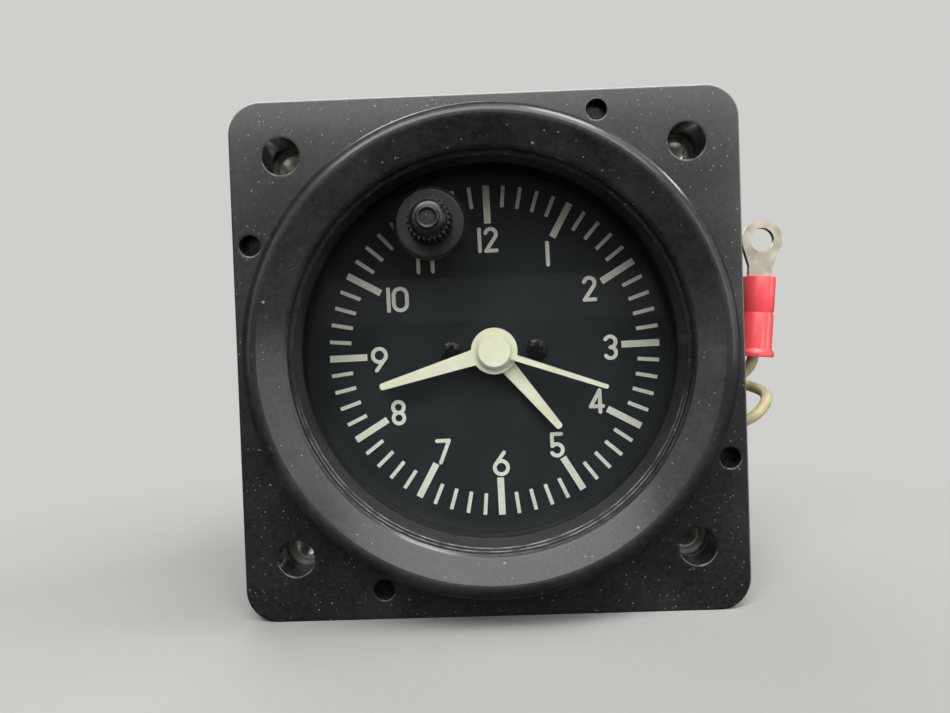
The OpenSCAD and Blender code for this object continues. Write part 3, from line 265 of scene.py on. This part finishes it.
def bezel_wear_and_highlight(tree, place, colour, soft_edge):
    """The colour with nicked edges, dust and a painted highlight on the upper ledges, and a painted highlight
    along the top and right edges.
    """
    chips = patches(tree, place, 0.5, 0.56, 0.7, 0.0, 0.6, 4.0)
    nicks = add(tree, "Math", {0: edges(tree, 0.12), 1: chips}, operation="MULTIPLY")
    nicked = add(tree, "Mix", {FACTOR: nicks, UNDER: colour, OVER: linear("#8f8e8a")}, **COLOURS)
    # Upward edges made paler: partly dust, partly a painted highlight along the upper ledges
    facing = add(tree, "SeparateXYZ", {0: soft_edge}, "Z")
    lifted = add(tree, "MapRange", {"Value": facing, "From Min": 0.1, "From Max": 0.5})
    rim = add(tree, "Math", {0: edges(tree, 0.35), 1: lifted}, operation="MULTIPLY")
    patchy = patches(tree, place, 1.6, 0.36, 0.62, 0.05, 0.8, 5.0)
    ledge_dust_and_highlight = add(tree, "Math", {0: rim, 1: patchy}, operation="MULTIPLY")
    dust_and_highlight_colour = add(tree, "Mix", {FACTOR: ledge_dust_and_highlight, UNDER: nicked, OVER: linear("#b3b1aa")}, **COLOURS)
    at_x = add(tree, "SeparateXYZ", {0: place}, "X")
    at_y = at_x.node.outputs["Y"]
    at_z = at_x.node.outputs["Z"]
    # Painted highlight: a near-white line along the top and right edges of the front, where the lamps catch
    # the rounded edges
    top = add(tree, "MapRange", {
        "Value": at_z, "From Min": BEZEL_TOP - 2.5 * MM, "From Max": BEZEL_TOP - 0.3 * MM, "To Max": 0.95,
    })
    right = add(tree, "MapRange", {
        "Value": at_x, "From Min": BEZEL_RIGHT - 1 * MM, "From Max": BEZEL_RIGHT - 0.3 * MM, "To Max": 0.35,
    })
    front = add(tree, "MapRange", {"Value": at_y, "From Min": 1 * MM, "From Max": 0.5 * MM})
    sides = add(tree, "Math", {0: top, 1: right}, operation="MAXIMUM")
    highlight_zone = add(tree, "Math", {0: sides, 1: front}, operation="MULTIPLY")
    painted_edge_highlight = add(tree, "Math", {0: edges(tree, 0.3), 1: highlight_zone}, operation="MULTIPLY")
    return add(tree, "Mix", {FACTOR: painted_edge_highlight, UNDER: dust_and_highlight_colour, OVER: linear("#dcdad3")}, **COLOURS)


def black_anodised_aluminium():
    """Turned aluminium, blasted, dyed black and sealed: a grained satin with dust, nicked edges and painted
    highlights along its upper and right edges.
    """
    material, tree, shader, place = begin("black_anodised_aluminium", {
        "IOR": 1.46, "Coat Roughness": 0.14, "Coat IOR": 1.6,
    })
    grain = add(tree, "TexNoise", {"Vector": place, "Scale": 1 / (0.6 * MM), "Detail": 5.0})
    shade = add(tree, "MapRange", {"Value": grain, "From Min": 0.36, "From Max": 0.66})
    dye = add(tree, "Mix", {FACTOR: shade, UNDER: linear("#0a0a0b"), OVER: linear("#1e1e1f")}, **COLOURS)
    soft_edge = add(tree, "Bevel", {"Radius": 0.4 * MM}, samples=6)
    feed(tree, shader, {
        "Base Color": bezel_wear_and_highlight(tree, place, bezel_dust(tree, place, dye), soft_edge),
        "Roughness": patches(tree, place, 4, 0.3, 0.7, 0.42, 0.5),
        "Coat Weight": bezel_coat(tree, place),
        "Normal": add(tree, "Bump", {
            "Height": grain, "Distance": 0.016 * MM, "Strength": 1.0, "Normal": soft_edge,
        }),
    })
    return material


def lens_glass():
    """Flat polished mineral glass: clear, with a faint reflection and a sprinkling of dust."""
    material, tree, shader, place = begin("lens_glass", {
        "Base Color": linear("#f4f7f6"), "IOR": 1.5, "Roughness": 0.02, "Transmission Weight": 1.0,
    })
    faint = patches(tree, place, 2, 0.4, 0.7, 0.05, 0.7)
    lying = specks(tree, place, 1.5, 0.09, 0.3)
    grains = add(tree, "Math", {0: lying, 1: faint}, operation="MULTIPLY")
    dust = add(tree, "BsdfDiffuse", {"Color": linear("#a9a8a2")})
    dusty = add(tree, "MixShader", {0: grains, 1: shader.outputs["BSDF"], 2: dust})
    clear = add(tree, "BsdfTransparent", {"Color": linear("#f4f7f6")})
    to_lamp = add(tree, "LightPath", {}, "Is Shadow Ray")
    through = add(tree, "MixShader", {0: to_lamp, 1: dusty, 2: clear})
    feed(tree, tree.nodes["Material Output"], {"Surface": through})
    return material


def black_nitrile_rubber():
    """Moulded rubber: dull black that holds a film and grains of grey dust."""
    material, tree, shader, place = begin("black_nitrile_rubber", {"IOR": 1.52})
    film = patches(tree, place, 1.4, 0.42, 0.7, detail=5.0)
    rubber = add(tree, "Mix", {FACTOR: film, UNDER: linear("#121212"), OVER: linear("#2c2b29")}, **COLOURS)
    dust = specks(tree, place, 0.5, 0.1, 0.4, 0.6)
    feed(tree, shader, {
        "Base Color": add(tree, "Mix", {FACTOR: dust, UNDER: rubber, OVER: linear("#8f8c83")}, **COLOURS),
        "Roughness": add(tree, "MapRange", {"Value": film, "To Min": 0.6, "To Max": 0.85}),
        "Normal": tooth(tree, place, 0.3, 0.03),
    })
    return material


def matt_black_lacquer():
    """Matt lacquer sprayed on the dial: a bluish black with a fine tooth and a few grains of dust."""
    material, tree, shader, place = begin("matt_black_lacquer", {"IOR": 1.48, "Specular IOR Level": 0.12})
    cloud = patches(tree, place, 6, 0.3, 0.7, detail=4.0)
    lacquer = add(tree, "Mix", {FACTOR: cloud, UNDER: linear("#1f2325"), OVER: linear("#282c2e")}, **COLOURS)
    dust = specks(tree, place, 1.7, 0.08, 0.3, 0.4)
    feed(tree, shader, {
        "Base Color": add(tree, "Mix", {FACTOR: dust, UNDER: lacquer, OVER: linear("#5f6062")}, **COLOURS),
        "Roughness": add(tree, "MapRange", {"Value": cloud, "To Min": 0.66, "To Max": 0.78}),
        "Normal": tooth(tree, place, 0.12, 0.004),
    })
    return material


def off_white_screen_ink():
    """Screen-printed ink, laid on twice: a chalky off-white, cream in the middle and whiter at its border."""
    material, tree, shader, place = begin("off_white_screen_ink", {"IOR": 1.48})
    thin = patches(tree, place, 0.3, 0.3, 0.72, detail=4.0)
    middle = add(tree, "Mix", {FACTOR: thin, UNDER: linear("#e4e1d1"), OVER: linear("#d3cfbd")}, **COLOURS)
    border = edges(tree, 0.14)
    feed(tree, shader, {
        "Base Color": add(tree, "Mix", {FACTOR: border, UNDER: middle, OVER: linear("#ecebe2")}, **COLOURS),
        "Roughness": add(tree, "MapRange", {"Value": thin, "To Min": 0.55, "To Max": 0.75}),
        "Normal": tooth(tree, place, 0.2, 0.01),
    })
    return material


def cream_hand_lacquer():
    """Cream lacquer on stamped hands: smooth, a little yellowed, with tiny stains, and painted shade
    darkening its edges.
    """
    material, tree, shader, place = begin("cream_hand_lacquer", {"IOR": 1.48})
    aged = patches(tree, place, 2.2, 0.3, 0.75, detail=4.0)
    lacquer = add(tree, "Mix", {FACTOR: aged, UNDER: linear("#eeead2"), OVER: linear("#e4dcc0")}, **COLOURS)
    stains = specks(tree, place, 1.6, 0.1, 0.3, 0.7)
    stained = add(tree, "Mix", {FACTOR: stains, UNDER: lacquer, OVER: linear("#6f6757")}, **COLOURS)
    # Painted shade: the edges are darkened, like the shaded rims of the cap and hub
    darkening = edges(tree, 0.16, 0.4)
    feed(tree, shader, {
        "Base Color": add(tree, "Mix", {FACTOR: darkening, UNDER: stained, OVER: linear("#9a937c")}, **COLOURS),
        "Roughness": add(tree, "MapRange", {"Value": aged, "To Min": 0.42, "To Max": 0.58}),
        "Normal": tooth(tree, place, 0.4, 0.006),
    })
    return material


def moulded_black_abs():
    """Moulded ABS: black with a soft gloss, grey dust in its flutes and rubbed edges."""
    material, tree, shader, place = begin("moulded_black_abs", {"IOR": 1.53})
    cloud = patches(tree, place, 1.2, 0.0, 1.0)
    skin = add(tree, "Mix", {FACTOR: cloud, UNDER: linear("#0f0f10"), OVER: linear("#1c1c1d")}, **COLOURS)
    rubs = patches(tree, place, 0.5, 0.4, 0.6, 0.0, 0.6, 4.0)
    rubbed = add(tree, "Math", {0: edges(tree, 0.12), 1: rubs}, operation="MULTIPLY")
    worn = add(tree, "Mix", {FACTOR: rubbed, UNDER: skin, OVER: linear("#6e6d69")}, **COLOURS)
    dust = specks(tree, place, 0.5, 0.1, 0.3, 0.5)
    feed(tree, shader, {
        "Base Color": add(tree, "Mix", {FACTOR: dust, UNDER: worn, OVER: linear("#a5a29b")}, **COLOURS),
        "Roughness": patches(tree, place, 0.8, 0.3, 0.7, 0.24, 0.4),
        "Normal": tooth(tree, place, 0.15, 0.006),
    })
    return material


def metal(name, bright, dark, roughness, grain, metallic=1.0):
    """A metal with machining marks grain mm wide, lighter and darker patches and uneven polish."""
    material, tree, shader, place = begin(name, {"Metallic": metallic})
    patch = patches(tree, place, 1.8, 0.3, 0.7, detail=4.0)
    stretch = add(tree, "Mapping", {"Vector": place, "Scale": (1, 1, 0.08)})
    feed(tree, shader, {
        "Base Color": add(tree, "Mix", {FACTOR: patch, UNDER: linear(bright), OVER: linear(dark)}, **COLOURS),
        "Roughness": add(tree, "MapRange", {
            "Value": patch, "To Min": roughness, "To Max": roughness + 0.16,
        }),
        "Normal": tooth(tree, stretch, grain, 0.004, 0.6),
    })
    return material


def blackened_steel():
    """Oxide-blackened steel screws, oiled: nearly black with a sharp glint, and dust at the slots."""
    material, tree, shader, place = begin("blackened_steel", {"Metallic": 0.6})
    oxide = patches(tree, place, 0.7, 0.35, 0.7, detail=4.0)
    steel = add(tree, "Mix", {FACTOR: oxide, UNDER: linear("#151515"), OVER: linear("#232322")}, **COLOURS)
    dust = specks(tree, place, 0.4, 0.1, 0.35, 0.3)
    feed(tree, shader, {
        "Base Color": add(tree, "Mix", {FACTOR: dust, UNDER: steel, OVER: linear("#7f7c74")}, **COLOURS),
        "Roughness": add(tree, "MapRange", {"Value": oxide, "To Min": 0.2, "To Max": 0.36}),
        "Normal": tooth(tree, place, 0.25, 0.01),
    })
    return material


def bright_turned_steel():
    """Turned steel: bright grey with fine tool marks."""
    return metal("bright_turned_steel", "#c9c8c4", "#a3a29e", 0.24, 0.1)


def nickel_plated_brass():
    """Nickel plate over brass: warm white metal under a dull film that scatters some light."""
    return metal("nickel_plated_brass", "#e9e6dd", "#c2beb3", 0.3, 0.3, 0.8)


def cut_clock_brass():
    """Cut and polished clock brass: golden, with fine lines from the cutter."""
    return metal("cut_clock_brass", "#d6b871", "#b08f4c", 0.26, 0.12)


def stamped_soft_iron():
    """Stamped soft iron: dark grey and slightly mottled."""
    return metal("stamped_soft_iron", "#77767a", "#58575a", 0.42, 0.2)


def drawn_can():
    """Drawn aluminium can: pale grey, drawn lines along it."""
    return metal("drawn_can", "#cfd0d2", "#adafb2", 0.25, 0.15)


def tinned_copper():
    """Tin plate on stamped copper: dull grey with handling marks."""
    return metal("tinned_copper", "#d3ccbc", "#a59d8c", 0.4, 0.25)


def enamelled_copper_wire():
    """Enamelled wire wound side by side: a brown red with ridges, each turn painted lighter on its crown and
    darker in the grooves as painted highlight and shade, drawn coarser than it is so they show.
    """
    material, tree, shader, place = begin("enamelled_copper_wire", {
        "IOR": 1.5, "Metallic": 0.7, "Roughness": 0.3,
    })
    axis = (math.sin(COIL_LEAN), 0, math.cos(COIL_LEAN))
    along = add(tree, "VectorMath", {0: place, 1: axis}, "Value", operation="DOT_PRODUCT")
    turn_ridges_and_shade = add(tree, "TexWave", {
        "Vector": add(tree, "CombineXYZ", {"X": along}),
        "Scale": 2 * math.pi / WAVE_ANGLE / (TURN_WIDTH * MM),
    }, "Fac", bands_direction="X")
    feed(tree, shader, {
        # Painted highlight and shade: the colour runs dark in the grooves and light on the crowns of the
        # turns
        "Base Color": add(tree, "Mix", {
            FACTOR: turn_ridges_and_shade, UNDER: linear("#6d2f17"), OVER: linear("#b5653a"),
        }, **COLOURS),
        "Normal": add(tree, "Bump", {"Height": turn_ridges_and_shade, "Distance": 0.05 * MM, "Strength": 1.0}),
    })
    return material


def green_board_lacquer():
    """Solder lacquer on glass laminate: deep green with a faint weave."""
    material, tree, shader, place = begin("green_board_lacquer", {"IOR": 1.5, "Roughness": 0.3})
    weave = add(tree, "TexChecker", {
        "Vector": place, "Scale": 1 / (0.5 * MM),
        "Color1": linear("#1d5a35"), "Color2": linear("#1a5230"),
    })
    film = patches(tree, place, 3, 0.4, 0.8, 0.0, 0.3)
    feed(tree, shader, {
        "Base Color": add(tree, "Mix", {FACTOR: film, UNDER: weave, OVER: linear("#3f6f4c")}, **COLOURS),
        "Normal": tooth(tree, place, 3, 0.01),
    })
    return material


def moulded_white_nylon():
    """Moulded nylon: milky white and slightly waxy."""
    material, tree, shader, place = begin("moulded_white_nylon", {
        "IOR": 1.53, "Subsurface Weight": 0.15, "Subsurface Radius": (1 * MM, 0.9 * MM, 0.7 * MM),
    })
    cloud = patches(tree, place, 1.5, 0.0, 1.0)
    feed(tree, shader, {
        "Base Color": add(tree, "Mix", {
            FACTOR: cloud, UNDER: linear("#e6e2d3"), OVER: linear("#d5cfbb"),
        }, **COLOURS),
        "Roughness": patches(tree, place, 1.5, 0.3, 0.7, 0.35, 0.5),
    })
    return material


def cream_wire_insulation():
    """Extruded wire insulation: smooth cream, a little soiled."""
    material, tree, shader, place = begin("cream_wire_insulation", {"IOR": 1.45})
    darkening = patches(tree, place, 2.4, 0.45, 0.8, detail=5.0)
    feed(tree, shader, {
        "Base Color": add(tree, "Mix", {
            FACTOR: darkening, UNDER: linear("#c2b890"), OVER: linear("#978c66"),
        }, **COLOURS),
        "Roughness": add(tree, "MapRange", {"Value": darkening, "To Min": 0.32, "To Max": 0.55}),
        "Normal": tooth(tree, place, 0.8, 0.02),
    })
    return material


def red_vinyl_sleeve():
    """Soft moulded vinyl: deep translucent red that glows where light comes through."""
    material, tree, shader, place = begin("red_vinyl_sleeve", {
        "IOR": 1.54, "Subsurface Weight": 0.35, "Subsurface Radius": (1.2 * MM, 0.2 * MM, 0.2 * MM),
        "Coat Weight": 0.3, "Coat Roughness": 0.15,
    })
    cloud = patches(tree, place, 1.6, 0.3, 0.7, detail=4.0)
    feed(tree, shader, {
        "Base Color": add(tree, "Mix", {
            FACTOR: cloud, UNDER: linear("#fa5d62"), OVER: linear("#ee4a52"),
        }, **COLOURS),
        "Roughness": add(tree, "MapRange", {"Value": cloud, "To Min": 0.25, "To Max": 0.42}),
        "Normal": tooth(tree, place, 0.5, 0.02),
    })
    return material


FINISHES = {
    "anodised_black": black_anodised_aluminium(),
    "lens_glass": lens_glass(),
    "black_rubber": black_nitrile_rubber(),
    "dial_paint": matt_black_lacquer(),
    "dial_print": off_white_screen_ink(),
    "hand_paint": cream_hand_lacquer(),
    "black_plastic": moulded_black_abs(),
    "black_steel": blackened_steel(),
    "bright_steel": bright_turned_steel(),
    "nickel_brass": nickel_plated_brass(),
    "wheel_brass": cut_clock_brass(),
    "soft_iron": stamped_soft_iron(),
    "coil_wire": enamelled_copper_wire(),
    "board": green_board_lacquer(),
    "white_nylon": moulded_white_nylon(),
    "component_can": drawn_can(),
    "wire_insulation": cream_wire_insulation(),
    "tinned_copper": tinned_copper(),
    "red_vinyl": red_vinyl_sleeve(),
}

# Rounded edges: the radius of each piece's edges, in mm
EDGE_ROUND = {
    "knob": 0.08, "hour_hand": 0.05, "minute_hand": 0.05, "second_hand": 0.05, "mount_nuts": 0.1,
    "dial_screws": 0.08, "cap_screws": 0.06, "case_screws": 0.08, "grommet": 0.2,
    "ring_terminals": 0.12, "terminal_sleeves": 0.12,
}
ROUND_STEPS = 3
SHARP_FROM = math.radians(32)
SAME_POINT = 0.0005 * MM


def round_edges(piece, radius):
    """Joins the faces of a piece and rounds its sharp edges."""
    weld = piece.modifiers.new("join_faces", "WELD")
    weld.merge_threshold = SAME_POINT
    bevel = piece.modifiers.new("round_edges", "BEVEL")
    bevel.width = radius * MM
    bevel.segments = ROUND_STEPS
    bevel.limit_method = "ANGLE"
    bevel.angle_limit = SHARP_FROM
    bevel.harden_normals = True


def dress():
    """Gives every node its finish, the listed nodes their rounded edges, and the leads their insulation."""
    slots = {row["node"]: row["material_slot"] for row in frame["record"]["subparts"]}
    for name, piece in NODES.items():
        piece.data.materials.clear()
        piece.data.materials.append(FINISHES[slots[name]])
        if name in EDGE_ROUND:
            round_edges(piece, EDGE_ROUND[name])
    for wire in wires:
        wire.data.materials.append(FINISHES["wire_insulation"])


dress()

# Stage, in m: a pale floor that runs up into a backdrop
FLOOR_Z = cad_box[0][2]
FLOOR_FRONT = -3.0
FLOOR_HALF_WIDTH = 1.6
SWEEP_START = 0.5
SWEEP_RADIUS = 0.5
SWEEP_STEPS = 16
WALL_TOP = 1.4
# The colour in which the camera sees the paper, and how far from the clock it is shaded and then even
PAPER_SEEN = "#cfcfcc"
EVEN_FROM = 0.045
EVEN_TO = 0.13
# A card in front that the lens mirrors
CARD_AT = -0.9
CARD_FOOT = 0.03
CARD_TOP = 0.092
CARD_HALF_WIDTH = 0.9
# Soft lights: place, width and depth in m, and watts; and the share of light that the room gives
LIGHTS = {
    "front_above": ((0.02, -0.42, 0.38), 0.6, 0.46, 2.8),
    "overhead": ((0.12, -0.185, 0.44), 1.1, 0.08, 3.4),
    "right_front": ((0.36, -0.5, 0.1), 0.3, 0.3, 0.45),
    "left_front": ((-0.36, -0.5, 0.1), 0.3, 0.3, 0.18),
    "right_side": ((0.7, -0.16, 0.12), 0.05, 0.5, 0.9),
    "rear": ((-0.25, 0.6, 0.45), 0.6, 0.5, 3.0),
}
ROOM_LIGHT = 0.06


def pale_backdrop_paper():
    """Smooth studio paper, pale and matt: even away from the clock, darker where the lens mirrors it."""
    material, tree, shader, place = begin("pale_backdrop_paper", {"Roughness": 0.9})
    tone = patches(tree, place, 40, 0.0, 1.0)
    feed(tree, shader, {"Base Color": add(tree, "Mix", {
        FACTOR: tone, UNDER: linear("#a8a8a5"), OVER: linear("#a6a6a3"),
    }, **COLOURS)})
    direct = add(tree, "LightPath", {}, "Is Camera Ray")
    mirrored = direct.node.outputs["Is Glossy Ray"]
    shade = add(tree, "Mix", {
        FACTOR: mirrored, UNDER: linear(PAPER_SEEN), OVER: linear("#3c3c3b"),
    }, **COLOURS)
    even = add(tree, "Emission", {"Color": shade, "Strength": 1.0})
    away = add(tree, "VectorMath", {0: place}, "Value", operation="LENGTH")
    far = add(tree, "MapRange", {"Value": away, "From Min": EVEN_FROM, "From Max": EVEN_TO})
    seen = add(tree, "Math", {0: direct, 1: far}, operation="MULTIPLY")
    share = add(tree, "Math", {0: seen, 1: mirrored}, operation="MAXIMUM")
    paper = add(tree, "MixShader", {0: share, 1: shader.outputs["BSDF"], 2: even})
    feed(tree, tree.nodes["Material Output"], {"Surface": paper})
    return material


def lay_backdrop():
    """One sheet of paper: flat under the clock, then swept up behind it."""
    profile = [(FLOOR_FRONT, FLOOR_Z), (SWEEP_START, FLOOR_Z)]
    for k in range(1, SWEEP_STEPS + 1):
        angle = math.pi / 2 * k / SWEEP_STEPS
        y = SWEEP_START + SWEEP_RADIUS * math.sin(angle)
        z = FLOOR_Z + SWEEP_RADIUS * (1 - math.cos(angle))
        profile.append((y, z))
    profile.append((SWEEP_START + SWEEP_RADIUS, WALL_TOP))
    points = [(side * FLOOR_HALF_WIDTH, y, z) for y, z in profile for side in (-1, 1)]
    faces = [(2 * k, 2 * k + 1, 2 * k + 3, 2 * k + 2) for k in range(len(profile) - 1)]
    mesh = bpy.data.meshes.new("backdrop")
    mesh.from_pydata(points, [], faces)
    mesh.polygons.foreach_set("use_smooth", [True] * len(faces))
    mesh.materials.append(pale_backdrop_paper())
    backdrop = bpy.data.objects.new("backdrop", mesh)
    SCENE.collection.objects.link(backdrop)


def grey_card():
    """Grey card that shows one even tone wherever it is mirrored."""
    material, tree, _, _ = begin("grey_card", {})
    even = add(tree, "Emission", {"Color": linear("#5e5e5d"), "Strength": 1.0})
    feed(tree, tree.nodes["Material Output"], {"Surface": even})
    return material


def stand_card():
    """A low grey card far in front, which only the lens and the metal mirror."""
    mesh = bpy.data.meshes.new("front_card")
    mesh.from_pydata([
        (side * CARD_HALF_WIDTH, CARD_AT, z) for z in (CARD_FOOT, CARD_TOP) for side in (-1, 1)
    ], [], [(0, 1, 3, 2)])
    mesh.materials.append(grey_card())
    card = bpy.data.objects.new("front_card", mesh)
    card.visible_camera = card.visible_diffuse = card.visible_shadow = False
    SCENE.collection.objects.link(card)


def soft_light(name, at, width, depth, watts):
    """A soft light of that width and depth that faces the clock."""
    data = bpy.data.lights.new(name, "AREA")
    data.shape = "RECTANGLE"
    data.size = width
    data.size_y = depth
    data.energy = watts
    light = bpy.data.objects.new(name, data)
    light.location = at
    light.rotation_euler = (-Vector(at)).to_track_quat("-Z", "Y").to_euler()
    SCENE.collection.objects.link(light)


def light_room():
    """The soft lights and a dim room, which the camera sees in the colour of the paper."""
    for name, light in LIGHTS.items():
        soft_light(name, *light)
    world = bpy.data.worlds.new("room")
    world.use_nodes = True
    tree = world.node_tree
    seen = add(tree, "LightPath", {}, "Is Camera Ray")
    feed(tree, tree.nodes["Background"], {
        "Color": add(tree, "Mix", {
            FACTOR: seen, UNDER: linear("#dcdcda"), OVER: linear(PAPER_SEEN),
        }, **COLOURS),
        "Strength": add(tree, "MapRange", {"Value": seen, "To Min": ROOM_LIGHT, "To Max": 1.0}),
    })
    SCENE.world = world


lay_backdrop()
stand_card()
light_room()

bpy.context.view_layer.update()
